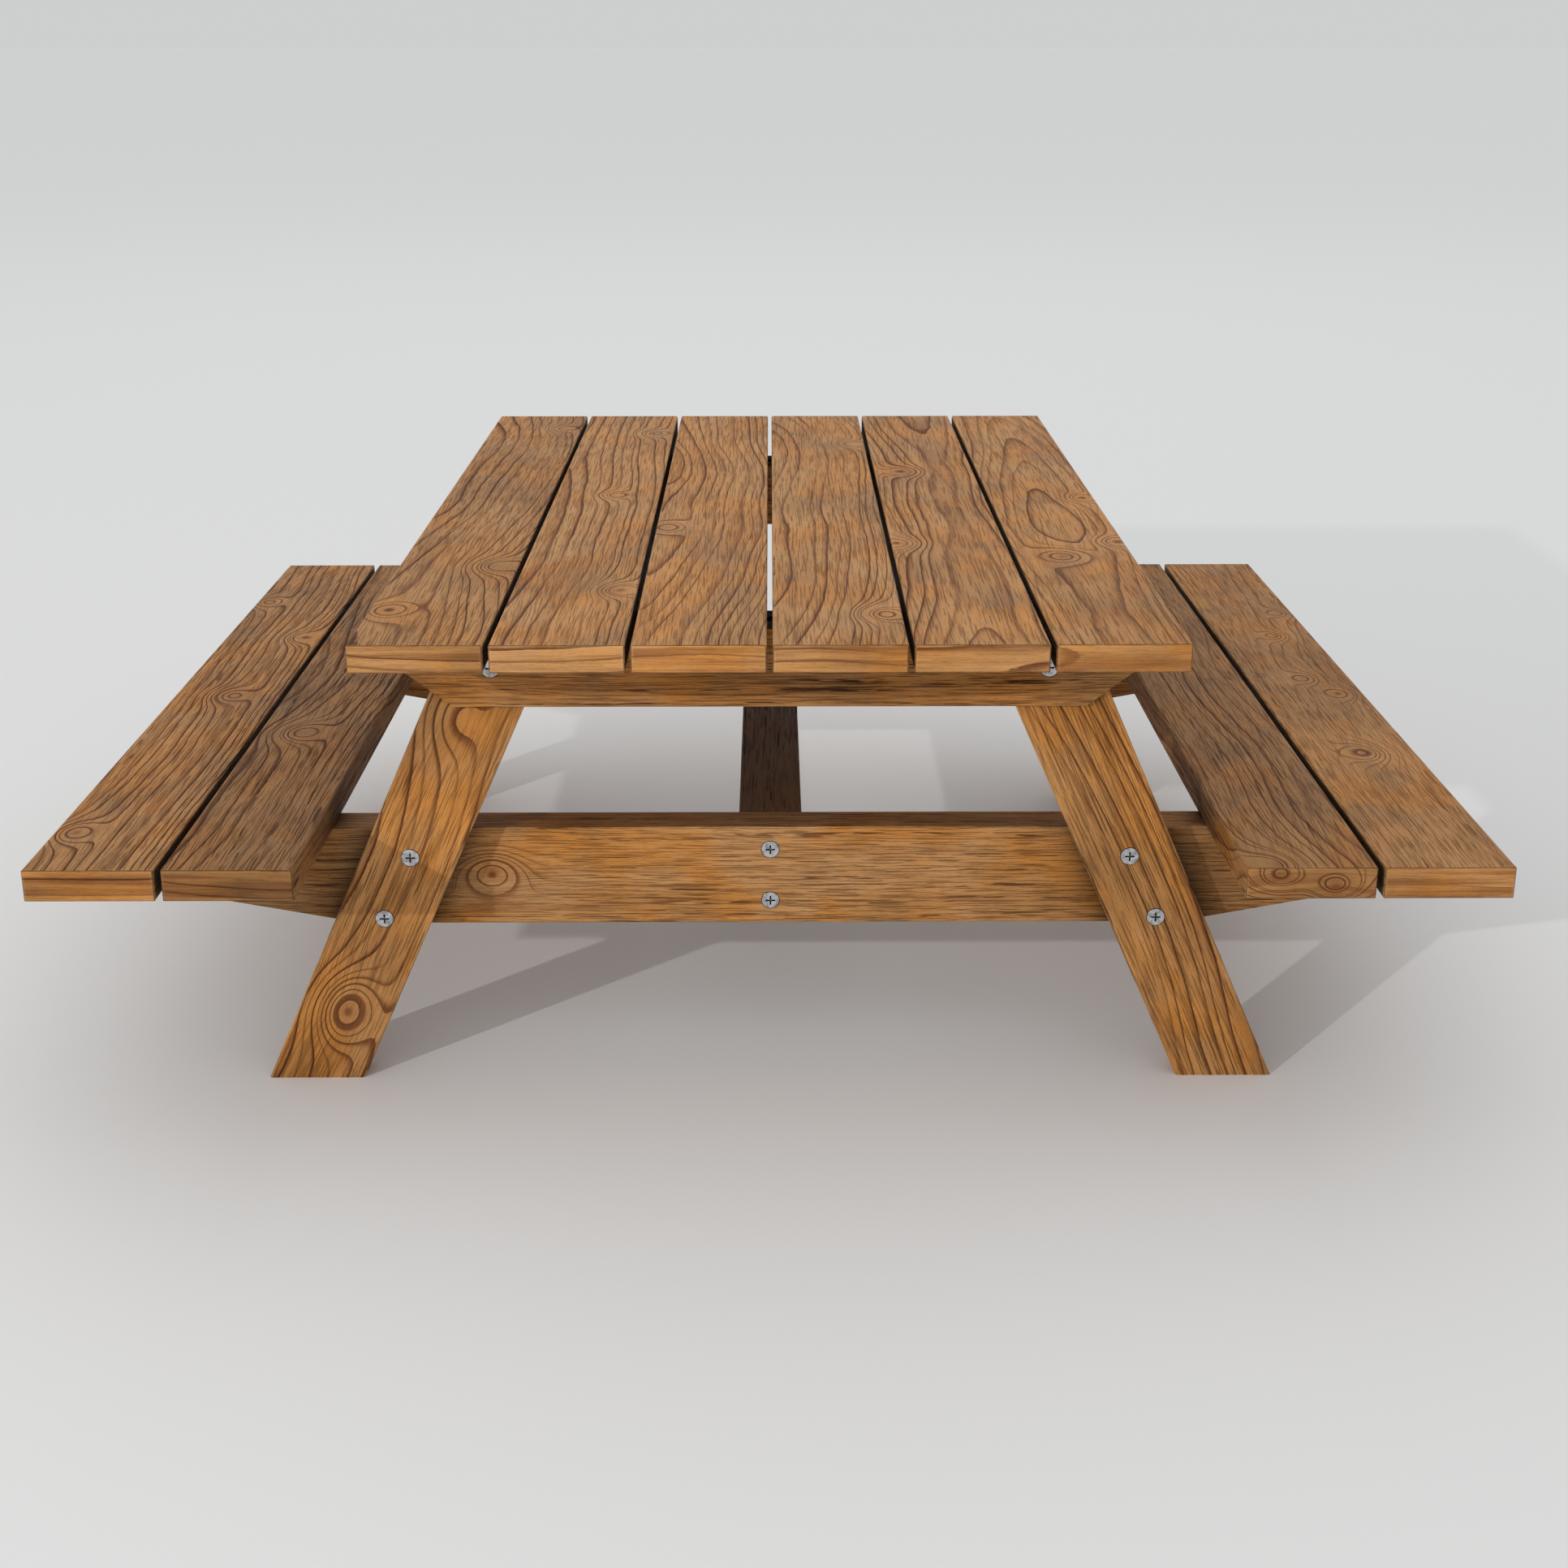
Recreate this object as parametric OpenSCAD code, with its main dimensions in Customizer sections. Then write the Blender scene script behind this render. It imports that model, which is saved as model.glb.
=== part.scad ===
// Picnic table with two attached benches: a six-board top and four bench boards on two
// splayed end frames, tied together by a stretcher low down on the centre line.
// Axes: X across the table, Y along the boards, Z up. Millimetres, origin on the floor
// under the middle of the table. The outer face of each end frame faces the end of the boards.

/* [Overall] */
// Height of the table top above the floor
table_h = 760; // [650:5:920]
// Height of the bench seats above the floor
seat_h = 440; // [360:5:540]
// Length of the top boards and the bench boards
board_len = 1800; // [1400:10:2200]
// Overall width over the outer edges of both benches
overall_w = 2064; // [1800:4:2480]

/* [Table top] */
// Width of one top board
top_board_w = 182; // [140:1:220]
// Thickness of a top board
top_board_t = 40; // [28:1:60]
// Gap between neighbouring top boards
top_gap = 7.6; // [3:0.2:15]

/* [Benches] */
// Width of one bench board
seat_board_w = 182; // [140:1:220]
// Thickness of a bench board
seat_board_t = 47; // [30:1:60]
// Gap between the two boards of a bench
seat_gap = 9.6; // [3:0.2:15]

/* [Legs] */
// Distance between the centres of a frame's two feet
foot_spread = 1402; // [1200:2:1600]
// Angle of each leg from the vertical
leg_splay = 24.2; // [15:0.1:30]
// Width of a leg, square to its length
leg_w = 134; // [90:1:170]
// Thickness of a leg, front to back
leg_t = 52; // [40:1:80]
// Distance from the board ends to the outer face of the legs
leg_inset = 244.5; // [150:0.5:320]

/* [Top bearers] */
// Height of a top bearer
top_bearer_h = 119; // [80:1:150]
// Thickness of a top bearer
top_bearer_t = 39; // [32:1:60]
// Distance that the outer top bearer stands proud of the legs it is let into
top_bearer_proud = 10; // [2:1:30]
// Distance from the side of the table top to each end of a top bearer
top_bearer_end_inset = 15; // [2:1:60]
// Height of the square part of a top bearer's end, above its mitred corner
top_bearer_end_h = 50; // [20:1:80]
// Angle of the mitred corner from the vertical
top_bearer_mitre = 52.8; // [30:0.2:60]

/* [Seat bearers] */
// Height of a seat bearer at its middle
seat_bearer_h = 157; // [110:1:200]
// Thickness of a seat bearer
seat_bearer_t = 67; // [40:1:90]
// Distance from the outer edge of a bench to the end of a seat bearer
seat_bearer_end_inset = 22; // [5:1:60]
// Length of the straight underside of a seat bearer, between its two tapers
seat_bearer_flat = 1245; // [900:5:1500]
// Angle of the tapered underside
seat_bearer_taper = 10.5; // [0:0.1:14]

/* [Stretcher] */
// Width of the centre stretcher
stretcher_w = 96; // [60:1:140]
// Height of the centre stretcher
stretcher_h = 157; // [90:1:200]

/* [Frame screws] */
// Diameter of a frame screw's head
head_d = 27; // [16:0.5:32]
// Thickness of a frame screw's head
head_t = 4.2; // [2:0.1:8]
// Distance that a frame screw's head stands out of its recess
head_proud = 1.2; // [0:0.1:3]
// Shank diameter of a frame screw
shank_d = 8; // [5:0.5:12]
// Length of the drive cross in a screw head
cross_len = 14.5; // [8:0.5:20]
// Width of each arm of the drive cross
cross_w = 2.4; // [1:0.1:4]
// Depth of the drive cross
cross_depth = 2.2; // [1:0.1:4]
// Distance between the two screws of a pair, measured up the frame
frame_screw_pitch = 98; // [40:1:120]
// Distance between the two screws into the stretcher's end, measured up the frame
stretcher_screw_pitch = 83; // [40:1:120]
// Distance that a frame screw goes into the second timber
frame_screw_bite = 50; // [25:1:60]
// Distance that a stretcher screw goes into the stretcher's end grain
stretcher_screw_bite = 70; // [40:1:120]
// Distance that a top bearer screw goes into the inner top bearer
top_screw_bite = 28; // [10:1:34]
// Height of a top bearer screw above the bearer's lower edge
top_screw_z = 59; // [30:1:90]

/* [Board screws] */
// Shank diameter of a board screw
fix_d = 6; // [4:0.5:8]
// Head diameter of a board screw
fix_head_d = 12; // [8:0.5:16]
// Thickness of a board screw's head
fix_head_t = 4; // [2:0.5:6]
// Timber left under a board screw's head
fix_grip = 48; // [25:1:60]
// Distance that a board screw goes up into its board
fix_bite = 26; // [12:1:28]
// Distance from a board's centre line to each of its screws
fix_offset = 40; // [20:1:60]

/* [Fits] */
// Radius worked along the edges of the boards
board_edge_r = 4; // [1:0.5:8]
// Radius worked along the edges of the frame timbers
frame_edge_r = 3; // [1:0.5:8]
// Clearance around a screw's shank in its hole, all round
shank_clear = 0.2; // [0.1:0.05:0.6]
// Clearance around a screw's head in its recess, all round
head_clear = 0.6; // [0.2:0.1:0.9]
// Clearance around the outer top bearer where the legs are notched for it
notch_clear = 0.3; // [0.1:0.1:0.8]

/* [Hidden] */
$fn = 96;
top_boards = 6;
seat_boards = 2;
half_len = board_len / 2;
top_pitch = top_board_w + top_gap;
seat_pitch = seat_board_w + seat_gap;
top_half_w = (top_boards * top_board_w + (top_boards - 1) * top_gap) / 2;
top_under = table_h - top_board_t;
seat_under = seat_h - seat_board_t;
seat_edge = overall_w / 2;
// Faces of the front end frame, measured from the middle of the table towards its end
leg_out = half_len - leg_inset;
leg_in = leg_out - leg_t;
outer_bearer_out = leg_out + top_bearer_proud;
outer_bearer_in = outer_bearer_out - top_bearer_t;
inner_bearer_in = leg_in - top_bearer_t;
seat_bearer_in = leg_in - seat_bearer_t;
top_bearer_z = top_under - top_bearer_h;
top_bearer_half = top_half_w - top_bearer_end_inset;
top_bearer_low_half = top_bearer_half - (top_bearer_h - top_bearer_end_h) * tan(top_bearer_mitre);
seat_bearer_z = seat_under - seat_bearer_h;
seat_bearer_half = seat_edge - seat_bearer_end_inset;
seat_bearer_rise = (seat_bearer_half - seat_bearer_flat / 2) * tan(seat_bearer_taper);
seat_bearer_mid_z = seat_bearer_z + seat_bearer_h / 2;
recess_depth = head_t - head_proud;
// Rounding of a frame screw's rim, and the flat left at the point of each kind of screw
head_rim = 1.1;
frame_point_r = 0.8;
board_point_r = 0.6;
// Length of a screw's point as a share of its shank's diameter, and the room left beyond it
point_ratio = 0.8;
point_room = 2;
fix_cross_len = fix_head_d * 0.6;
fix_cross_w = fix_head_d * 0.16;
fix_cross_depth = fix_head_t * 0.45;
// Distance that a cut runs on past the face it starts from
overcut = 1;
top_screw_level = top_bearer_z + top_screw_z;
leg_screw_levels = [for (s = [-1, 1]) seat_bearer_mid_z + s * frame_screw_pitch / 2];
stretcher_screw_levels = [for (s = [-1, 1]) seat_bearer_mid_z + s * stretcher_screw_pitch / 2];
leg_screw_len = leg_t + frame_screw_bite;
stretcher_screw_len = seat_bearer_t + stretcher_screw_bite;
top_screw_len = outer_bearer_out - leg_in + top_screw_bite;
outer_fix_y = (outer_bearer_out + outer_bearer_in) / 2;
inner_fix_y = leg_in - top_bearer_t / 2;
seat_fix_y = leg_in - seat_bearer_t / 2;
top_wood = [0.67, 0.50, 0.35];
seat_wood = [0.62, 0.44, 0.29];
leg_wood = [0.66, 0.44, 0.25];
bearer_wood = [0.60, 0.40, 0.23];
stretcher_wood = [0.42, 0.27, 0.17];
steel = [0.74, 0.74, 0.75];

// X of a top board's centre line, counted from the left
function top_board_x(i) = (i - (top_boards + 1) / 2) * top_pitch;

// X of a bench board's centre line: 1 is the outer board, 2 the inner one
function seat_board_x(i) = seat_edge - seat_board_w / 2 - (i - 1) * seat_pitch;

// X of a leg's centre line at a height above the floor
function leg_x(z) = foot_spread / 2 - z * tan(leg_splay);

// A rectangle with rounded corners, centred
module soft_rect(a, b, r) {
    square([a - 2 * r, b], center = true);
    square([a, b - 2 * r], center = true);
    for (sx = [-1, 1], sy = [-1, 1])
        translate([sx * (a / 2 - r), sy * (b / 2 - r)])
            circle(r);
}

// A board along Y with every edge rounded, standing on z = 0
module board(w, t, len, r) {
    translate([0, 0, t / 2])
        intersection() {
            linear_extrude(t, center = true)
                soft_rect(w, len, r);
            rotate([90, 0, 0])
                linear_extrude(len, center = true)
                    soft_rect(w, t, r);
            rotate([90, 0, 90])
                linear_extrude(w, center = true)
                    soft_rect(len, t, r);
        }
}

// The space of a profile in XZ, from y0 up to y1
module slab(y0, y1) {
    translate([0, y1, 0])
        rotate([90, 0, 0])
            linear_extrude(y1 - y0)
                children();
}

// Side edges of a bar along X rounded: its section in YZ, run over the whole width
module soft_bar(y0, y1, z0, z1, half) {
    translate([0, (y0 + y1) / 2, (z0 + z1) / 2])
        rotate([90, 0, 90])
            linear_extrude(2 * half, center = true)
                soft_rect(y1 - y0, z1 - z0, frame_edge_r);
}

// Moves what is built at the front end (negative Y) to one of the two ends
module at_end(front) {
    mirror([0, front ? 0 : 1, 0])
        children();
}

module at_side(left) {
    mirror([left ? 1 : 0, 0, 0])
        children();
}

// ---- screws ----

// The hole for a frame screw whose head is on the plane y = 0 and whose point is at +Y
module frame_screw_hole(len) {
    rotate([-90, 0, 0]) {
        translate([0, 0, -overcut])
            cylinder(d = head_d + 2 * head_clear, h = recess_depth + overcut);
        cylinder(d = shank_d + 2 * shank_clear, h = len + point_room);
    }
}

// A frame screw in the same place: domed rim, drive cross, shank and point
module frame_screw(len) {
    tip = shank_d * point_ratio;
    rotate([-90, 0, 0])
        difference() {
            rotate_extrude() {
                translate([0, -head_proud + head_rim])
                    square([head_d / 2, head_t - head_rim]);
                translate([0, -head_proud])
                    square([head_d / 2 - head_rim, head_rim]);
                intersection() {
                    translate([head_d / 2 - head_rim, -head_proud + head_rim])
                        circle(head_rim);
                    translate([head_d / 2 - 2 * head_rim, -head_proud])
                        square([2 * head_rim, head_rim]);
                }
                translate([0, recess_depth])
                    square([shank_d / 2, len - recess_depth - tip]);
                polygon([[0, len - tip], [shank_d / 2, len - tip], [frame_point_r, len], [0, len]]);
            }
            translate([0, 0, (cross_depth - overcut) / 2 - head_proud])
                for (a = [0, 90])
                    rotate(a)
                        cube([cross_len, cross_w, cross_depth + overcut], center = true);
        }
}

// The hole for a board screw driven upwards: its head seats on z = 0
module board_screw_hole(drop) {
    translate([0, 0, -drop])
        cylinder(d = fix_head_d + 2 * head_clear, h = drop);
    cylinder(d = fix_d + 2 * shank_clear, h = fix_grip + fix_bite + overcut);
}

// A board screw in the same place
module board_screw() {
    tip = fix_d * point_ratio;
    len = fix_grip + fix_bite;
    difference() {
        rotate_extrude() {
            translate([0, -fix_head_t])
                square([fix_head_d / 2, fix_head_t]);
            square([fix_d / 2, len - tip]);
            polygon([[0, len - tip], [fix_d / 2, len - tip], [board_point_r, len], [0, len]]);
        }
        translate([0, 0, -fix_head_t])
            for (a = [0, 90])
                rotate(a)
                    cube([fix_cross_len, fix_cross_w, 2 * fix_cross_depth], center = true);
    }
}

// ---- where the screws are, all at the front end ----

module at_leg_screws() {
    for (z = leg_screw_levels)
        translate([leg_x(z), -leg_out, z])
            children();
}

module at_stretcher_screws() {
    for (z = stretcher_screw_levels)
        translate([0, -leg_in, z])
            children();
}

module at_top_bearer_screw() {
    translate([leg_x(top_screw_level), -outer_bearer_out, top_screw_level])
        children();
}

// One screw through the outer bearer and one through the inner bearer for each board
module at_top_board_screws(boards, rows) {
    for (i = boards, row = rows)
        translate([
            top_board_x(i) + (row == 0 ? -1 : 1) * fix_offset,
            -(row == 0 ? outer_fix_y : inner_fix_y),
            top_under - fix_grip
        ])
            children();
}

module at_seat_board_screws(boards) {
    for (i = boards, s = [-1, 1])
        translate([seat_board_x(i) + s * fix_offset, -seat_fix_y, seat_under - fix_grip])
            children();
}

// ---- timbers ----

module top_board(i) {
    color(top_wood)
        difference() {
            translate([top_board_x(i), 0, top_under])
                board(top_board_w, top_board_t, board_len, board_edge_r);
            for (front = [true, false])
                at_end(front)
                    at_top_board_screws([i], [0, 1])
                        board_screw_hole(1);
        }
}

module seat_board(left, i) {
    color(seat_wood)
        at_side(left)
            difference() {
                translate([seat_board_x(i), 0, seat_under])
                    board(seat_board_w, seat_board_t, board_len, board_edge_r);
                for (front = [true, false])
                    at_end(front)
                        at_seat_board_screws([i])
                            board_screw_hole(1);
            }
}

// Outline of a top bearer in XZ: square at the top of its ends, mitred below
module top_bearer_outline(grow) {
    polygon([
        [-top_bearer_low_half - grow / 2, top_bearer_z - grow],
        [top_bearer_low_half + grow / 2, top_bearer_z - grow],
        [top_bearer_half + grow, top_under - top_bearer_end_h - grow / 2],
        [top_bearer_half + grow, top_under + grow],
        [-top_bearer_half - grow, top_under + grow],
        [-top_bearer_half - grow, top_under - top_bearer_end_h - grow / 2]
    ]);
}

module top_bearer(y0, y1) {
    intersection() {
        slab(y0, y1)
            top_bearer_outline(0);
        soft_bar(y0, y1, top_bearer_z, top_under, top_bearer_half);
    }
}

// The outer bearer is let into the legs; the screws into the legs start in its face
module top_bearer_outer(front) {
    color(bearer_wood)
        at_end(front)
            difference() {
                top_bearer(-outer_bearer_out, -outer_bearer_in);
                for (left = [true, false])
                    at_side(left)
                        at_top_bearer_screw()
                            frame_screw_hole(top_screw_len);
                at_top_board_screws([1 : top_boards], [0])
                    board_screw_hole(top_bearer_h);
            }
}

module top_bearer_inner(front) {
    color(bearer_wood)
        at_end(front)
            difference() {
                top_bearer(-leg_in, -inner_bearer_in);
                for (left = [true, false])
                    at_side(left)
                        at_top_bearer_screw()
                            frame_screw_hole(top_screw_len);
                at_top_board_screws([1 : top_boards], [1])
                    board_screw_hole(top_bearer_h);
            }
}

// A leg: a bar along its own slope, cut level at the floor and under the top,
// and notched for the outer top bearer
module leg(front, left) {
    run = table_h / cos(leg_splay);
    color(leg_wood)
        at_end(front)
            at_side(left)
                difference() {
                    intersection() {
                        translate([foot_spread / 2, -(leg_out + leg_in) / 2, 0])
                            rotate([0, -leg_splay, 0])
                                translate([0, 0, run / 2])
                                    linear_extrude(2 * run, center = true)
                                        soft_rect(leg_w, leg_t, frame_edge_r);
                        slab(-leg_out - 1, -leg_in + 1)
                            translate([-seat_edge, 0])
                                square([2 * seat_edge, top_under]);
                    }
                    slab(-outer_bearer_out, -outer_bearer_in)
                        top_bearer_outline(notch_clear);
                    at_leg_screws()
                        frame_screw_hole(leg_screw_len);
                    at_top_bearer_screw()
                        frame_screw_hole(top_screw_len);
                }
}

// Outline of a seat bearer in XZ: a level top and an underside that rises to each end
module seat_bearer_outline() {
    polygon([
        [-seat_bearer_flat / 2, seat_bearer_z],
        [seat_bearer_flat / 2, seat_bearer_z],
        [seat_bearer_half, seat_bearer_z + seat_bearer_rise],
        [seat_bearer_half, seat_under],
        [-seat_bearer_half, seat_under],
        [-seat_bearer_half, seat_bearer_z + seat_bearer_rise]
    ]);
}

module seat_bearer(front) {
    color(bearer_wood)
        at_end(front)
            difference() {
                intersection() {
                    slab(-leg_in, -seat_bearer_in)
                        seat_bearer_outline();
                    soft_bar(-leg_in, -seat_bearer_in, seat_bearer_z, seat_under, seat_bearer_half);
                }
                at_stretcher_screws()
                    frame_screw_hole(stretcher_screw_len);
                for (left = [true, false])
                    at_side(left) {
                        at_leg_screws()
                            frame_screw_hole(leg_screw_len);
                        at_seat_board_screws([1, 2])
                            board_screw_hole(seat_bearer_h);
                    }
            }
}

module centre_stretcher() {
    color(stretcher_wood)
        difference() {
            translate([0, 0, seat_under - stretcher_h])
                intersection() {
                    translate([-stretcher_w / 2, -seat_bearer_in, 0])
                        cube([stretcher_w, 2 * seat_bearer_in, stretcher_h]);
                    translate([0, 0, stretcher_h / 2])
                        rotate([90, 0, 0])
                            linear_extrude(2 * seat_bearer_in, center = true)
                                soft_rect(stretcher_w, stretcher_h, frame_edge_r);
                }
            for (front = [true, false])
                at_end(front)
                    at_stretcher_screws()
                        frame_screw_hole(stretcher_screw_len);
        }
}

// ---- screw sets ----

module leg_screws(front) {
    color(steel)
        at_end(front)
            for (left = [true, false])
                at_side(left)
                    at_leg_screws()
                        frame_screw(leg_screw_len);
}

module stretcher_screws(front) {
    color(steel)
        at_end(front)
            at_stretcher_screws()
                frame_screw(stretcher_screw_len);
}

module top_bearer_screws(front) {
    color(steel)
        at_end(front)
            for (left = [true, false])
                at_side(left)
                    at_top_bearer_screw()
                        frame_screw(top_screw_len);
}

module top_board_screws(front) {
    color(steel)
        at_end(front)
            at_top_board_screws([1 : top_boards], [0, 1])
                board_screw();
}

module seat_board_screws(front) {
    color(steel)
        at_end(front)
            for (left = [true, false])
                at_side(left)
                    at_seat_board_screws([1, 2])
                        board_screw();
}

for (i = [1 : top_boards])
    top_board(i);
seat_board(true, 1);  // seat_board_left_outer
seat_board(true, 2);  // seat_board_left_inner
seat_board(false, 2);  // seat_board_right_inner
seat_board(false, 1);  // seat_board_right_outer
leg(true, true);  // leg_front_left
leg(true, false);  // leg_front_right
leg(false, true);  // leg_rear_left
leg(false, false);  // leg_rear_right
top_bearer_outer(true);  // top_bearer_front_outer
top_bearer_inner(true);  // top_bearer_front_inner
top_bearer_inner(false);  // top_bearer_rear_inner
top_bearer_outer(false);  // top_bearer_rear_outer
seat_bearer(true);  // seat_bearer_front
seat_bearer(false);  // seat_bearer_rear
centre_stretcher();
leg_screws(true);  // leg_screws_front
leg_screws(false);  // leg_screws_rear
stretcher_screws(true);  // stretcher_screws_front
stretcher_screws(false);  // stretcher_screws_rear
top_bearer_screws(true);  // top_bearer_screws_front
top_bearer_screws(false);  // top_bearer_screws_rear
top_board_screws(true);  // top_board_screws_front
top_board_screws(false);  // top_board_screws_rear
seat_board_screws(true);  // seat_board_screws_front
seat_board_screws(false);  // seat_board_screws_rear
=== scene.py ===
"""Looks for the picnic table: oiled, weathered timber with growth rings and knots, and plated screws."""

import math

import bpy
from mathutils import Matrix, Vector


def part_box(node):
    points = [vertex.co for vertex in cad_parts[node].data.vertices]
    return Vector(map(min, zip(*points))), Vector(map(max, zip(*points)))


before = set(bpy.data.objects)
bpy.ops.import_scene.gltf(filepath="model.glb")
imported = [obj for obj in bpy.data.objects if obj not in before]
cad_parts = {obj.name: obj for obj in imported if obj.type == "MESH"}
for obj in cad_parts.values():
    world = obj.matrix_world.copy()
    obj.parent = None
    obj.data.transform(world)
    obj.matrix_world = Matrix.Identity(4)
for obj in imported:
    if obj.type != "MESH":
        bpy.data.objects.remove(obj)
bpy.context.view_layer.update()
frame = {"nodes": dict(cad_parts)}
nodes = frame["nodes"]


# ---- a small vocabulary for node trees ----

class Tree:
    """Adds nodes to one tree; every call but node and feed returns an output socket."""

    def __init__(self, node_tree):
        self.tree = node_tree

    def node(self, kind, **settings):
        node = self.tree.nodes.new(kind)
        for key, value in settings.items():
            setattr(node, key, value)
        return node

    def feed(self, socket, value):
        if isinstance(value, bpy.types.NodeSocket):
            self.tree.links.new(value, socket)
        else:
            socket.default_value = value

    def math(self, operation, *values):
        node = self.node("ShaderNodeMath", operation=operation)
        for socket, value in zip(node.inputs, values):
            self.feed(socket, value)
        return node.outputs[0]

    def times(self, a, b):
        return self.math("MULTIPLY", a, b)

    def times_plus(self, a, b, plus):
        return self.math("MULTIPLY_ADD", a, b, plus)

    def vector(self, operation, *values):
        node = self.node("ShaderNodeVectorMath", operation=operation)
        for socket, value in zip(node.inputs, values):
            self.feed(socket, value)
        return node.outputs["Value" if operation in ("LENGTH", "DOT_PRODUCT") else "Vector"]

    def ramp(self, value, low, high, to_low=0.0, to_high=1.0):
        node = self.node("ShaderNodeMapRange", interpolation_type="SMOOTHSTEP")
        for name, v in zip(("Value", "From Min", "From Max", "To Min", "To Max"),
                           (value, low, high, to_low, to_high)):
            self.feed(node.inputs[name], v)
        return node.outputs["Result"]

    def noise(self, vector, cells, detail=2.0, roughness=0.5, output="Fac"):
        """Noise with so many cells per metre along each axis."""
        node = self.node("ShaderNodeTexNoise", noise_dimensions="3D")
        self.feed(node.inputs["Vector"], self.vector("MULTIPLY", vector, cells))
        node.inputs["Scale"].default_value = 1.0
        node.inputs["Detail"].default_value = detail
        node.inputs["Roughness"].default_value = roughness
        return node.outputs[output]

    def around(self, noise):
        """Noise shifted to swing about zero."""
        return self.math("SUBTRACT", noise, 0.5)

    def mix(self, factor, a, b, blend="MIX"):
        node = self.node("ShaderNodeMix", data_type="RGBA", blend_type=blend)
        for index, value in ((0, factor), (6, a), (7, b)):
            self.feed(node.inputs[index], value)
        return node.outputs[2]

    def split(self, vector):
        node = self.node("ShaderNodeSeparateXYZ")
        self.feed(node.inputs[0], vector)
        return node.outputs

    def join(self, x, y, z):
        node = self.node("ShaderNodeCombineXYZ")
        for socket, value in zip(node.inputs, (x, y, z)):
            self.feed(socket, value)
        return node.outputs[0]

    def ambient_occlusion(self, distance, samples):
        """How open a place is within a distance, by ambient occlusion: 1 in the open, 0 in a deep corner."""
        node = self.node("ShaderNodeAmbientOcclusion", samples=samples)
        node.inputs["Distance"].default_value = distance
        return node.outputs["AO"]

    def bump(self, shader, height, strength, distance):
        node = self.node("ShaderNodeBump")
        node.inputs["Strength"].default_value = strength
        node.inputs["Distance"].default_value = distance
        self.feed(node.inputs["Height"], height)
        self.feed(shader.inputs["Normal"], node.outputs["Normal"])


def new_group(name, inputs, outputs):
    """A node group with the sockets named; returns the group, its Tree, its inputs and its outputs."""
    group = bpy.data.node_groups.new(name, "ShaderNodeTree")
    for direction, sockets in (("INPUT", inputs), ("OUTPUT", outputs)):
        for kind, names in sockets:
            for label in names:
                group.interface.new_socket(label, in_out=direction, socket_type="NodeSocket" + kind)
    t = Tree(group)
    return group, t, t.node("NodeGroupInput").outputs, t.node("NodeGroupOutput").inputs


def new_material(name):
    material = bpy.data.materials.new(name)
    material.use_nodes = True
    return material, Tree(material.node_tree), material.node_tree.nodes["Principled BSDF"]


def place_in_scene(name, data):
    thing = bpy.data.objects.new(name, data)
    bpy.context.scene.collection.objects.link(thing)
    return thing


# ---- camera, light and floor ----

CAMERA_AT = Vector((0.0013, -3.7174, 1.5411))
CAMERA_PITCH = math.radians(19.13)
CAMERA_YAW = -0.00625
LENS_MM = 50.37
SENSOR_MM = 36.0

KEY_AT = Vector((-4.96, -6.25, 3.06))
KEY_AIM = Vector((0, 0, 0.3))
KEY_SIZE = 0.12
KEY_POWER = 195.0
KEY_COLOR = (1.0, 0.985, 0.97)

WORLD_COLOR = (0.992, 1.0, 1.002, 1.0)
WORLD_LIGHT = 0.735
HORIZON_LIGHT = 0.62
HORIZON_FADE = (0.02, 0.20)

BACK_AT = Vector((0, 8, 7))
BACK_SIZE = (12, 8)
BACK_POWER = 44.0

FLOOR_HALF = 150.0
FLOOR_GREY = 0.855


def add_camera():
    data = bpy.data.cameras.new("photo_view")
    data.lens = LENS_MM
    data.sensor_width = SENSOR_MM
    camera = place_in_scene("photo_view", data)
    camera.location = CAMERA_AT
    camera.rotation_euler = (math.pi / 2 - CAMERA_PITCH, 0, CAMERA_YAW)
    bpy.context.scene.camera = camera


def add_key_light():
    """A small lamp that throws soft-edged shadows and fades slowly over the floor."""
    data = bpy.data.lights.new("key", "AREA")
    data.shape = "DISK"
    data.size = KEY_SIZE
    data.energy = KEY_POWER
    data.color = KEY_COLOR
    data.use_nodes = True
    t = Tree(data.node_tree)
    falloff = t.node("ShaderNodeLightFalloff")
    falloff.inputs["Strength"].default_value = 1 / KEY_AT.length
    t.feed(data.node_tree.nodes["Emission"].inputs["Strength"], falloff.outputs["Linear"])
    light = place_in_scene("key", data)
    light.location = KEY_AT
    light.rotation_euler = (KEY_AIM - KEY_AT).to_track_quat("-Z", "Y").to_euler()


def add_world():
    """Even studio light, a little dimmer at the horizon."""
    world = bpy.data.worlds.new("studio")
    world.use_nodes = True
    background = world.node_tree.nodes["Background"]
    background.inputs["Color"].default_value = WORLD_COLOR
    t = Tree(world.node_tree)
    _, _, up = t.split(t.node("ShaderNodeTexCoord").outputs["Generated"])
    t.feed(background.inputs["Strength"], t.ramp(up, *HORIZON_FADE, HORIZON_LIGHT, WORLD_LIGHT))
    bpy.context.scene.world = world


def add_back_light():
    data = bpy.data.lights.new("back_softbox", "AREA")
    data.shape = "RECTANGLE"
    data.size, data.size_y = BACK_SIZE
    data.energy = BACK_POWER
    place_in_scene("back_softbox", data).location = BACK_AT


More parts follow.
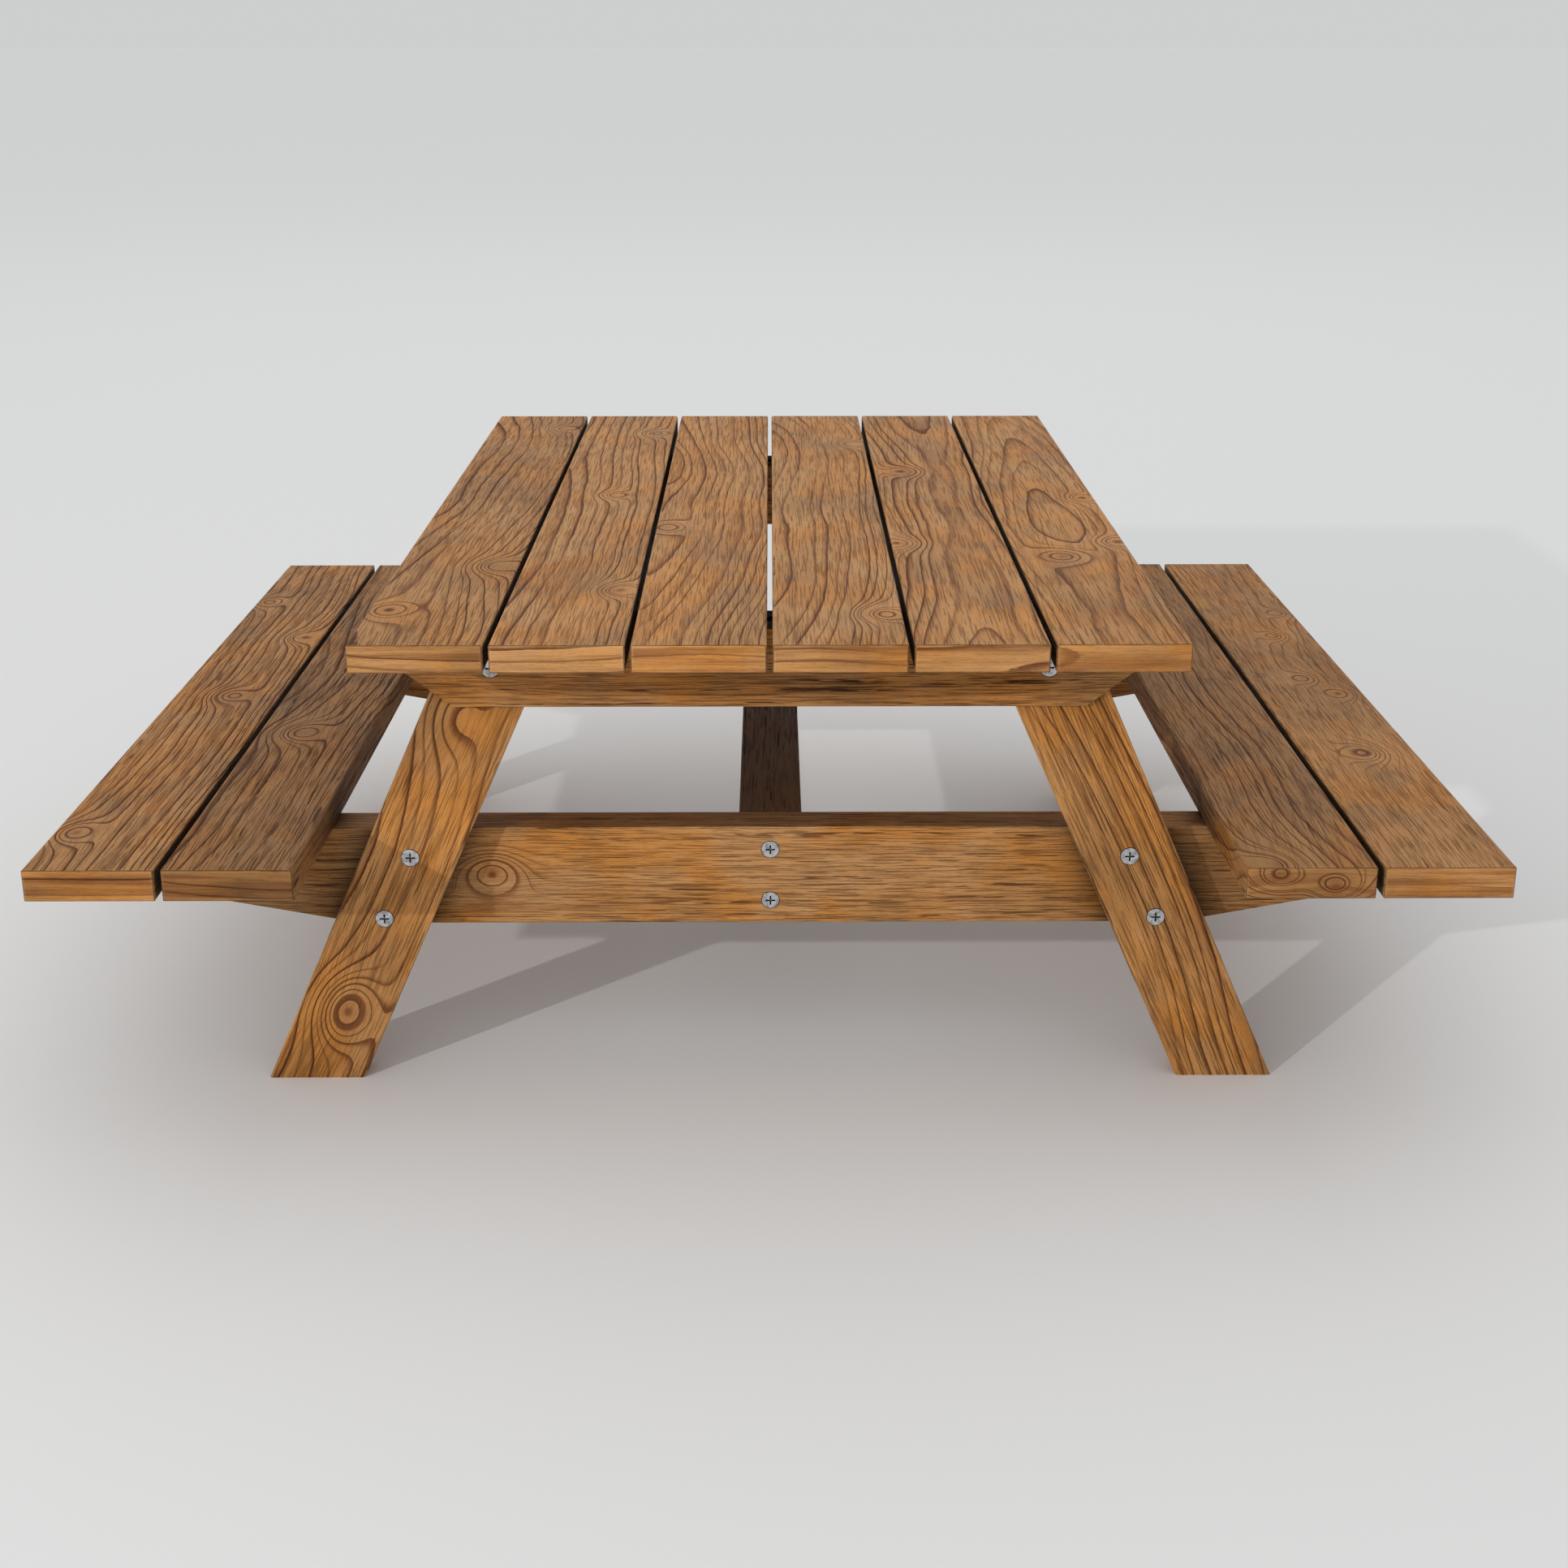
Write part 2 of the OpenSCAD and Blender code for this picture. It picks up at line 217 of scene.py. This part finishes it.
def add_floor():
    mesh = bpy.data.meshes.new("floor")
    corners = [(x * FLOOR_HALF, y * FLOOR_HALF, 0) for x, y in ((-1, -1), (1, -1), (1, 1), (-1, 1))]
    mesh.from_pydata(corners, [], [(0, 1, 2, 3)])
    floor = place_in_scene("floor", mesh)
    material, _, shader = new_material("floor")
    shader.inputs["Base Color"].default_value = (FLOOR_GREY, FLOOR_GREY, FLOOR_GREY, 1)
    shader.inputs["Roughness"].default_value = 0.9
    shader.inputs["Specular IOR Level"].default_value = 0.1
    mesh.materials.append(material)


# ---- wood ----

TAN = (0.56, 0.268, 0.087, 1)
HONEY = (0.635, 0.262, 0.056, 1)
GREYED = (0.47, 0.268, 0.120, 1)
WORN = (0.60, 0.36, 0.17, 1)
RING_LINE = (0.120, 0.034, 0.010, 1)
RING_SHADE = (0.235, 0.078, 0.021, 1)
DASH = (0.080, 0.028, 0.009, 1)
KNOT_HEART = (0.23, 0.060, 0.018, 1)

# How strongly each colour covers the one below it
STREAK_COVER = 0.20
STREAK_COVER_ON_ENDS = 0.50
FIBRE_COVER = 0.40
SHADE_COVER = 0.62
HEART_COVER = 0.75
DASH_COVER = 0.66
LINE_COVER = 0.88
WORN_COVER = 0.38

# Cells per metre of each noise: along the grain, across the face and through the board
WANDER_CELLS = (1.3, 1, 1)
SWAY_CELLS = (1.9, 8.0, 8.0)
KINK_CELLS = (13, 9, 9)
FRAY_CELLS = (110, 500, 500)
PATCH_CELLS = (1.2, 8.0, 8.0)
VEIN_CELLS = (0.8, 110, 110)
BREAK_CELLS = (16, 150, 150)
TICK_CELLS = (13, 430, 430)
FIBRE_CELLS = (75, 1100, 1100)
STREAK_CELLS = (2.2, 65, 65)
BLOTCH_CELLS = (5.5, 8.0, 8.0)
CLOUD_CELLS = (4.0, 6.5, 6.5)
RUB_CELLS = (22, 22, 22)

# Growth rings, in metres
RING_STEP = 0.013
CREST_SOFTNESS = 0.12
PITH_WANDER = 0.10
DEPTH_WANDER = 0.06
SWAY = 0.018
KINK = 0.0030
FRAY = 0.0009
RING_UNEVENNESS = 2.4
RING_BACK = 0.965                 # where a ring's dark late wood ends, in turns of the ring
LINE_FRONT = (0.82, 0.95)         # where its thin line starts
SHADE_FRONT = (0.50, 0.97)        # where the soft shade before the line starts
LINE_WIDENS_AT_KNOT = -0.26

# How far each thing stands up from the surface or cuts into it, as shares of BUMP_DEPTH
LINE_HEIGHT = -1.1
DASH_HEIGHT = -0.45
FIBRE_HEIGHT = -0.35
STREAK_HEIGHT = 0.4
SHADE_HEIGHT = 0.3
BUMP_DEPTH = 0.0022

RUBBED_EDGE = (0.0065, 0.0008)
# Ambient occlusion within this reach darkens sheltered timber: painted shade
PAINTED_SHADE_REACH = 0.45
FLOOR_REACH = 0.32                # the pale floor darkens the feet in the occlusion test, so the painted shade is lifted near it
SEED_SHIFT = (7.31, 3.77)
END_STRETCH = 1.15
SPECULAR = 0.16


def knot_group():
    """One knot: how far it lifts the rings at a place, and how close the place is to its heart."""
    group, t, given, out = new_group(
        "knot", (("Vector", ("Place", "At")), ("Float", ("Radius", "Lift"))),
        (("Float", ("Lift", "Zone", "Heart")),))
    along, across, _ = t.split(t.vector("SUBTRACT", given["Place"], given["At"]))

    def hump(stretch, width):
        """1 in the middle of the knot, falling off smoothly, longer along the grain by stretch."""
        reach = t.times(given["Radius"], width)
        flat = t.vector("LENGTH", t.join(t.math("DIVIDE", along, stretch), across, 0.0))
        return t.math("EXPONENT", t.times(t.math("POWER", t.math("DIVIDE", flat, reach), 2.0), -1.0))

    eye = hump(1.35, 1.0)
    skirt = hump(3.6, 1.05)
    t.feed(out["Lift"], t.times(given["Lift"], t.times_plus(skirt, 0.18, eye)))
    t.feed(out["Zone"], hump(1.45, 1.45))
    t.feed(out["Heart"], hump(1.2, 0.30))
    return group


def growth_rings(t, given, place, away):
    """Rings round a pith beside and below the board: their dark line, its shade and the grain's bend."""
    along, across, depth = t.split(place)
    along_only = t.vector("MULTIPLY", away, (1, 0, 0))
    wander, wander_depth, _ = t.split(t.noise(along_only, WANDER_CELLS, 1.0, 0.4, "Color"))
    side = t.times_plus(t.around(wander), PITH_WANDER, given["Pith"])
    below = t.times_plus(t.around(wander_depth), DEPTH_WANDER, given["Deep"])
    radius = t.vector("LENGTH", t.join(t.math("SUBTRACT", across, side), t.math("ADD", depth, below), 0.0))
    sway = t.around(t.noise(away, SWAY_CELLS, 1.5))
    kink = t.around(t.noise(away, KINK_CELLS, 1.5))
    fray = t.around(t.noise(away, FRAY_CELLS, 1.0))
    bend = t.times_plus(sway, SWAY, t.times(kink, KINK))

    from_crest = t.math("SUBTRACT", along, given["Crest"])
    climb = t.math("SQRT", t.times_plus(from_crest, from_crest, CREST_SOFTNESS ** 2))
    field = t.times_plus(climb, given["Taper"], t.math("ADD", radius, bend))
    field = t.math("ADD", field, given["Knot Lift"])
    field = t.times_plus(fray, FRAY, field)

    rings = t.math("DIVIDE", field, RING_STEP)
    uneven = t.noise(t.join(t.times(rings, 0.5), given["Seed"], 0.0), (1, 1, 1), 1.0)
    rings = t.times_plus(uneven, RING_UNEVENNESS, t.math("ADD", rings, given["Seed"]))
    turn = t.math("FRACT", rings)

    # Some rings, and some stretches of all rings, are fainter; those of a knot never are
    chance = t.node("ShaderNodeTexWhiteNoise", noise_dimensions="1D")
    t.feed(chance.inputs["W"], t.math("FLOOR", rings))
    strong = t.ramp(chance.outputs["Value"], 0.05, 0.50, 0.45, 1.0)
    patch = t.ramp(t.noise(away, PATCH_CELLS, 1.0), 0.32, 0.50, 0.35, 1.0)
    strong = t.times(t.times(strong, patch), given["Rings"])
    strong = t.math("MAXIMUM", strong, given["Knot Zone"])

    back = t.ramp(turn, 1.0, RING_BACK)
    start = t.times_plus(given["Knot Zone"], LINE_WIDENS_AT_KNOT, LINE_FRONT[0])
    line = t.times(t.times(t.ramp(turn, start, LINE_FRONT[1]), back), strong)
    shade = t.times(t.times(t.ramp(turn, *SHADE_FRONT), back), strong)
    return line, shade, bend


def pores(t, given, grained, end):
    """Long broken veins and short ticks along the grain; knots and sawn ends have few."""
    vein = t.math("ABSOLUTE", t.around(t.noise(grained, VEIN_CELLS, 1.0, 0.5)))
    broken = t.noise(grained, BREAK_CELLS, 2.0)
    vein = t.times(t.ramp(vein, 0.034, 0.006), t.ramp(broken, 0.44, 0.60))
    tick = t.ramp(t.noise(grained, TICK_CELLS, 1.5, 0.45), 0.51, 0.65)
    dash = t.math("MAXIMUM", t.times(vein, given["Dashes"]), t.times(tick, 0.75))
    clear = t.times_plus(end, -0.60, t.times_plus(given["Knot Zone"], -0.85, 1.0))
    return t.times(dash, clear)


def rubbed(t, given, shift):
    """Arrises are rubbed pale: the middle one of the three face distances is the one to the nearest edge."""
    depths = t.vector("SUBTRACT", given["Half"], t.vector("ABSOLUTE", given["Place"]))
    from_end, from_side, from_face = t.split(depths)
    near = t.math("MINIMUM", t.math("MAXIMUM", from_end, from_side), from_face)
    edge = t.math("MAXIMUM", t.math("MINIMUM", from_end, from_side), near)
    rub = t.noise(t.vector("ADD", given["Place"], shift), RUB_CELLS, 3.0)
    return t.times(t.ramp(edge, *RUBBED_EDGE), t.ramp(rub, 0.38, 0.62))


def wood_group():
    """Sawn timber. Place is in metres: X along the grain, Y across the face, Z through the board."""
    group, t, given, out = new_group(
        "sawn_timber",
        (("Vector", ("Place", "Half")),
         ("Float", ("End", "Knot Lift", "Knot Zone", "Knot Heart", "Seed", "Pith", "Deep", "Taper", "Crest",
                    "Rings", "Dashes", "Tone", "Grey", "Above Floor"))),
        (("Color", ("Color",)), ("Float", ("Roughness", "Height"))))
    seed, end = given["Seed"], given["End"]
    shift = t.join(t.times(seed, SEED_SHIFT[0]), t.times(seed, SEED_SHIFT[1]), seed)

    # On a sawn end the figure runs across the board
    _, across, depth = t.split(given["Place"])
    place = t.mix(end, given["Place"], t.join(across, t.times(depth, END_STRETCH), 0.0))
    away = t.vector("ADD", place, shift)
    line, shade, bend = growth_rings(t, given, place, away)

    # Pores and fibre follow the grain round the knots
    along, across, depth = t.split(place)
    flow = t.math("ADD", across, t.times_plus(given["Knot Lift"], 0.12, t.times(bend, 0.7)))
    grained = t.vector("ADD", t.join(along, flow, depth), shift)
    dash = pores(t, given, grained, end)
    fibre = t.noise(grained, FIBRE_CELLS, 1.5, 0.5)
    streak = t.noise(grained, STREAK_CELLS, 2.0)

    # Colour drifts in clouds between tan, honey and grey, then takes the figure
    blotch = t.noise(away, BLOTCH_CELLS, 3.0, 0.60)
    cloud = t.noise(t.vector("ADD", away, (31.0, 17.0, 5.0)), CLOUD_CELLS, 3.0, 0.60)
    color = t.mix(t.ramp(blotch, 0.42, 0.60), TAN, HONEY)
    color = t.mix(t.times(t.ramp(cloud, 0.46, 0.66), given["Grey"]), color, GREYED)
    banded = t.times_plus(end, STREAK_COVER_ON_ENDS, STREAK_COVER)
    color = t.mix(t.times(t.ramp(streak, 0.42, 0.70), banded), color, RING_SHADE)
    color = t.mix(t.ramp(fibre, 0.50, 0.78, 0.0, FIBRE_COVER), color, DASH)
    for amount, cover, over in ((shade, SHADE_COVER, RING_SHADE),
                                (given["Knot Heart"], HEART_COVER, KNOT_HEART),
                                (dash, DASH_COVER, DASH),
                                (line, LINE_COVER, RING_LINE),
                                (rubbed(t, given, shift), WORN_COVER, WORN)):
        color = t.mix(t.times(amount, cover), color, over)

    # Sheltered places are darkened by ambient occlusion: painted shade
    ground = t.ramp(given["Above Floor"], FLOOR_REACH, 0.0, 0.0, 0.30)
    painted_shade = t.ramp(t.math("ADD", t.ambient_occlusion(PAINTED_SHADE_REACH, 4), ground), 0.22, 0.78, 0.08, 1.0)
    tone = t.times(given["Tone"], t.ramp(cloud, 0.30, 0.66, 0.74, 1.08))
    tone = t.times(t.times(tone, painted_shade), t.times_plus(end, 0.12, 1.0))
    color = t.mix(1.0, color, t.join(tone, tone, tone), "MULTIPLY")

    height = 1.0
    for amount, step in ((line, LINE_HEIGHT), (dash, DASH_HEIGHT), (fibre, FIBRE_HEIGHT),
                         (streak, STREAK_HEIGHT), (shade, SHADE_HEIGHT)):
        height = t.times_plus(amount, step, height)

    gloss = t.times_plus(dash, 0.18, t.times_plus(cloud, 0.25, 0.42))
    t.feed(out["Color"], color)
    t.feed(out["Roughness"], t.times_plus(shade, 0.12, gloss))
    t.feed(out["Height"], height)
    return group


def feed_knots(t, wood, look, group, place, end):
    """Adds up the knots' lifts, and takes the nearest knot's zone and heart."""
    face = t.math("SUBTRACT", 1.0, end)
    _, across, depth = t.split(place)
    end_place = t.join(across, depth, 0.0)
    total = None
    for knot in look.knots:
        one = t.node("ShaderNodeGroup", node_tree=group)
        t.feed(one.inputs["Place"], end_place if knot.on_end else place)
        one.inputs["At"].default_value = (knot.along, knot.across, 0.0)
        one.inputs["Radius"].default_value = knot.radius
        one.inputs["Lift"].default_value = knot.rings * RING_STEP
        seen = end if knot.on_end else face
        values = [t.times(one.outputs[key], seen) for key in ("Lift", "Zone", "Heart")]
        values[2] = t.times(values[2], knot.heart)
        if total is None:
            total = values
        else:
            total = [t.math(how, a, b) for how, a, b in zip(("ADD", "MAXIMUM", "MAXIMUM"), total, values)]
    for label, value in zip(("Knot Lift", "Knot Zone", "Knot Heart"), total or ()):
        t.feed(wood.inputs[label], value)


def wood_material(name, groups, centre, grain, width, half, seed, look):
    """Timber whose grain runs along the unit vector grain and whose face spans the unit vector width."""
    material, t, shader = new_material(name)
    turn = Matrix((grain, width, grain.cross(width)))
    mapping = t.node("ShaderNodeMapping", vector_type="POINT")
    mapping.inputs["Rotation"].default_value = turn.to_euler("XYZ")
    mapping.inputs["Location"].default_value = -(turn @ centre)
    coordinates = t.node("ShaderNodeTexCoord").outputs
    t.feed(mapping.inputs["Vector"], coordinates["Object"])
    place = mapping.outputs["Vector"]
    facing = t.math("ABSOLUTE", t.vector("DOT_PRODUCT", coordinates["Normal"], tuple(grain)))
    end = t.ramp(facing, 0.55, 0.85)

    wood = t.node("ShaderNodeGroup", node_tree=groups["wood"])
    feed_knots(t, wood, look, groups["knot"], place, end)
    for label, value in (("Place", place), ("End", end), ("Above Floor", t.split(coordinates["Object"])[2]),
                         ("Half", half), ("Seed", seed), ("Pith", look.pith), ("Deep", look.deep),
                         ("Taper", look.taper), ("Crest", look.crest), ("Rings", look.rings),
                         ("Dashes", look.dashes), ("Tone", look.tone), ("Grey", look.grey)):
        t.feed(wood.inputs[label], value)
    t.feed(shader.inputs["Base Color"], wood.outputs["Color"])
    t.feed(shader.inputs["Roughness"], wood.outputs["Roughness"])
    shader.inputs["Specular IOR Level"].default_value = SPECULAR
    t.bump(shader, wood.outputs["Height"], 1.0, BUMP_DEPTH)
    return material


class Knot:
    """A knot at a place on the face, in metres from the board's middle; heart says how dark its middle is."""

    def __init__(self, along, across, radius, rings, heart=0.4, on_end=False):
        self.along, self.across, self.radius, self.rings = along, across, radius, rings
        self.heart, self.on_end = heart, on_end


class Look:
    """How one timber was sawn, and how it has weathered.

    pith and deep say how far beside and below the face's middle the rings turn, and taper how fast they close
    along the board on both sides of crest. rings and dashes are how dark the figure is, tone the timber's
    brightness, and grey how silvered it is.
    """

    def __init__(self, pith, deep, taper, crest, rings, dashes, tone, grey, knots=()):
        self.pith, self.deep, self.taper, self.crest = pith, deep, taper, crest
        self.rings, self.dashes, self.tone, self.grey, self.knots = rings, dashes, tone, grey, knots


# The timbers that the photograph shows have their own figure and knots
LOOKS = {
    "top_board_1": Look(
        pith=-0.12, deep=0.16, taper=0.02, crest=0.3, rings=1.1, dashes=0.9, tone=0.95, grey=0.35,
        knots=(Knot(-0.45, 0.055, 0.037, 3.6), Knot(-0.715, -0.065, 0.033, 3.2),
               Knot(0.75, 0.05, 0.029, 2.9))),
    "top_board_2": Look(
        pith=-0.16, deep=0.22, taper=0.02, crest=0.0, rings=1.0, dashes=0.55, tone=1.06, grey=0.5,
        knots=(Knot(-0.6, 0.06, 0.032, 3.6), Knot(0.69, 0.05, 0.029, 2.9), Knot(0.08, 0.01, 0.024, 2.2))),
    "top_board_3": Look(
        pith=-0.1, deep=0.12, taper=0.05, crest=0.15, rings=1.0, dashes=0.5, tone=1.08, grey=0.45,
        knots=(Knot(-0.18, -0.075, 0.032, 2.9),)),
    "top_board_4": Look(
        pith=-0.14, deep=0.2, taper=0.03, crest=0.1, rings=0.9, dashes=0.5, tone=1.06, grey=0.6,
        knots=(Knot(0.57, 0.06, 0.029, 2.9), Knot(-0.74, 0.06, 0.034, 3.6))),
    "top_board_5": Look(
        pith=0.02, deep=0.09, taper=-0.05, crest=0.05, rings=1.0, dashes=0.5, tone=1.05, grey=0.5,
        knots=(Knot(0.29, -0.035, 0.034, 3.2), Knot(-0.3, -0.075, 0.032, 3.6))),
    "top_board_6": Look(
        pith=0.0, deep=0.09, taper=0.048, crest=-0.2, rings=1.0, dashes=0.5, tone=1.04, grey=0.45,
        knots=(Knot(-0.39, -0.018, 0.039, 3.2, heart=0.8), Knot(0.05, 0.066, 0.024, 2.5),
               Knot(-0.29, 0.073, 0.027, 2.5))),
    "seat_board_left_outer": Look(
        pith=-0.16, deep=0.18, taper=0.02, crest=0.0, rings=1.0, dashes=1.2, tone=0.93, grey=0.35,
        knots=(Knot(-0.07, 0.003, 0.034, 3.2), Knot(0.31, 0.05, 0.032, 2.5),
               Knot(0.58, -0.07, 0.029, 3.2), Knot(-0.75, -0.064, 0.034, 3.2))),
    "seat_board_left_inner": Look(
        pith=-0.12, deep=0.15, taper=0.03, crest=0.2, rings=1.0, dashes=1.4, tone=0.67, grey=0.5,
        knots=(Knot(-0.28, -0.025, 0.041, 4.0),)),
    "seat_board_right_inner": Look(
        pith=0.13, deep=0.15, taper=0.04, crest=0.1, rings=0.8, dashes=1.2, tone=0.74, grey=0.2,
        knots=(Knot(-0.887, -0.045, 0.041, 3.2, heart=0.6),
               Knot(-0.045, -0.012, 0.027, 4.8, heart=0.6, on_end=True),
               Knot(0.034, 0.005, 0.026, 4.6, heart=0.9, on_end=True))),
    "seat_board_right_outer": Look(
        pith=0.16, deep=0.22, taper=0.02, crest=0.0, rings=0.5, dashes=1.0, tone=0.93, grey=0.35,
        knots=(Knot(-0.395, 0.012, 0.037, 3.6, heart=0.9), Knot(-0.07, 0.05, 0.027, 2.5),
               Knot(0.024, 0.009, 0.027, 2.5), Knot(0.31, 0.02, 0.027, 2.5),
               Knot(0.48, 0.062, 0.024, 2.2))),
    "leg_front_left": Look(
        pith=0.1, deep=0.12, taper=0.05, crest=0.0, rings=1.0, dashes=1.2, tone=1.08, grey=0.16,
        knots=(Knot(-0.27, 0.0, 0.042, 5.5, heart=0.5), Knot(0.24, 0.02, 0.045, 2.2, heart=0.0))),
    "leg_front_right": Look(
        pith=0.13, deep=0.14, taper=0.03, crest=0.1, rings=1.0, dashes=1.0, tone=1.12, grey=0.25),
    "top_bearer_front_outer": Look(
        pith=0.2, deep=0.3, taper=0.02, crest=0.0, rings=0.3, dashes=1.5, tone=0.97, grey=0.25),
    "seat_bearer_front": Look(
        pith=0.22, deep=0.3, taper=0.02, crest=0.0, rings=0.25, dashes=1.3, tone=1.1, grey=0.7,
        knots=(Knot(-0.424, 0.006, 0.033, 4.4, heart=1.0),)),
    # The centre stretcher's low tone is painted shade: it darkens the stretcher as the shade under the table
    # top would.
    "centre_stretcher": Look(
        pith=0.16, deep=0.25, taper=0.02, crest=0.0, rings=0.5, dashes=1.3, tone=0.46, grey=0.3),
}
# The look of every other timber
DEFAULT_LOOK = Look(
    pith=0.16, deep=0.2, taper=0.03, crest=0.1, rings=0.8, dashes=0.9, tone=1.0, grey=0.4,
    knots=(Knot(0.21, 0.02, 0.037, 3.2, heart=0.5),))


X, Y, Z = Vector((1, 0, 0)), Vector((0, 1, 0)), Vector((0, 0, 1))
LEG_SPLAY = math.radians(24.2)
LEG_WIDTH = 0.134
NO_END = 9.0                      # a leg's sawn ends are never near, so they aren't rubbed
SEED_STEP = 1.37


def is_screw(name):
    return "screws" in name


def dress(node, material):
    mesh = nodes[node].data
    mesh.materials.clear()
    mesh.materials.append(material)


def dress_timbers():
    groups = {"wood": wood_group(), "knot": knot_group()}
    timbers = [name for name in sorted(nodes) if not is_screw(name)]
    seed = 1.0
    for name in timbers:
        seed += SEED_STEP
        low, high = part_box(name)
        centre, half = (low + high) / 2, (high - low) / 2
        if name.startswith("leg"):
            lean = LEG_SPLAY if centre.x < 0 else -LEG_SPLAY
            grain = Vector((math.sin(lean), 0, math.cos(lean)))
            width = grain.cross(Y)
            sizes = (NO_END, LEG_WIDTH / 2, half.y)
        elif "bearer" in name:
            grain, width = X, Z
            sizes = (half.x, half.z, half.y)
        else:
            grain, width = Y, X
            sizes = (half.y, half.x, half.z)
        look = LOOKS.get(name, DEFAULT_LOOK)
        dress(name, wood_material(name, groups, centre, grain, width, sizes, seed, look))


# ---- plated screws ----

PLATE_BRIGHT = (0.62, 0.62, 0.64, 1)
PLATE_DULL = (0.30, 0.30, 0.32, 1)
# Painted shade in the cross recess, laid on by ambient occlusion within SLOT_REACH
SLOT_PAINTED_SHADE = (0.003, 0.003, 0.003, 1)
SLOT_REACH = 0.005
DULL_CELLS = (140, 140, 140)
SCRATCH_CELLS = (900, 260, 2600)
SCRATCH_DEPTH = 0.0002


def steel_material():
    """Dulled zinc plate with fine scratches, and painted shade from ambient occlusion in the cross recess."""
    material, t, shader = new_material("plated_steel")
    place = t.node("ShaderNodeTexCoord").outputs["Object"]
    dull = t.noise(place, DULL_CELLS, 3.0)
    scratch = t.noise(place, SCRATCH_CELLS, 2.0)
    color = t.mix(t.ramp(dull, 0.35, 0.7), PLATE_BRIGHT, PLATE_DULL)
    # Painted shade: the cross recess is darkened by ambient occlusion
    color = t.mix(t.ramp(t.ambient_occlusion(SLOT_REACH, 6), 0.70, 0.96), SLOT_PAINTED_SHADE, color)
    t.feed(shader.inputs["Base Color"], color)
    t.feed(shader.inputs["Roughness"], t.ramp(scratch, 0.3, 0.7, 0.34, 0.52))
    shader.inputs["Metallic"].default_value = 1.0
    t.bump(shader, scratch, 0.25, SCRATCH_DEPTH)
    return material


def dress_screws():
    steel = steel_material()
    for name in filter(is_screw, nodes):
        dress(name, steel)


add_camera()
add_key_light()
add_world()
add_back_light()
add_floor()
dress_timbers()
dress_screws()
bpy.context.scene.view_settings.view_transform = "Standard"
